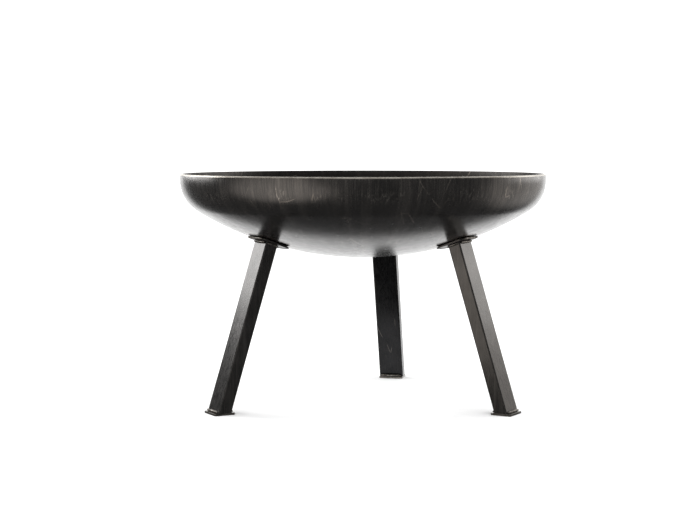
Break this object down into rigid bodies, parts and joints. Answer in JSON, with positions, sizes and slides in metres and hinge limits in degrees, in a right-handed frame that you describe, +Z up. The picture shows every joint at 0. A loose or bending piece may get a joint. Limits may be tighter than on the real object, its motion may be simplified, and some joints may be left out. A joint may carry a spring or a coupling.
{
  "type": "fire pit with grate",
  "caption": "Shallow dished steel fire bowl on splayed rectangular tube legs with welded end plates, holding a round lift-out bar grate with lifting handles.",
  "frame": {"origin": "on the floor under the middle of the bowl, at the crossing of the bowl's axis and the plane that the feet stand on", "axes": "+Z up along the bowl's axis; the pit's front, where two legs stand, faces -Y; +X is to the right seen from the front"},
  "size_m": [0.7, 0.7, 0.44],
  "materials": {
    "bowl_steel": "raw hot-rolled steel with dark mill scale, scratched, rim bevel ground bright",
    "tube_steel": "raw cold-formed tube with a dark satin mill skin",
    "plate_steel": "raw hot-rolled flat with dark mill scale",
    "weld_bead": "as-laid rippled weld bead, heat tinted at its edges",
    "grate_steel": "raw drawn round bar, dark and lightly sooted"
  },
  "bodies": {
    "pit": {"bowl": "bowl_steel", "leg_tube_left": "tube_steel", "leg_tube_right": "tube_steel", "leg_tube_rear": "tube_steel", "leg_plate_left": "plate_steel", "leg_plate_right": "plate_steel", "leg_plate_rear": "plate_steel", "foot_plate_left": "plate_steel", "foot_plate_right": "plate_steel", "foot_plate_rear": "plate_steel", "bowl_weld_left": "weld_bead", "bowl_weld_right": "weld_bead", "bowl_weld_rear": "weld_bead", "top_weld_left": "weld_bead", "top_weld_right": "weld_bead", "top_weld_rear": "weld_bead", "foot_weld_left": "weld_bead", "foot_weld_right": "weld_bead", "foot_weld_rear": "weld_bead"},
    "grate": {"grate_ring": "grate_steel", "grate_bar_01": "grate_steel", "grate_bar_02": "grate_steel", "grate_bar_03": "grate_steel", "grate_bar_04": "grate_steel", "grate_bar_05": "grate_steel", "grate_bar_06": "grate_steel", "grate_bar_07": "grate_steel", "grate_bar_08": "grate_steel", "grate_bar_09": "grate_steel", "grate_bar_10": "grate_steel", "grate_bar_11": "grate_steel", "grate_bar_12": "grate_steel", "grate_bar_13": "grate_steel", "grate_bar_14": "grate_steel", "grate_bar_15": "grate_steel", "grate_bar_16": "grate_steel", "grate_bar_17": "grate_steel", "grate_bar_18": "grate_steel", "grate_bar_19": "grate_steel", "cross_bar_left": "grate_steel", "cross_bar_right": "grate_steel", "handle_left": "grate_steel", "handle_right": "grate_steel"}
  },
  "joints": [
    {"name": "grate_lift", "type": "slide", "parent": "pit", "child": "grate", "axis": [0, 0, 1], "range_m": [0, 0.25]}
  ]
}
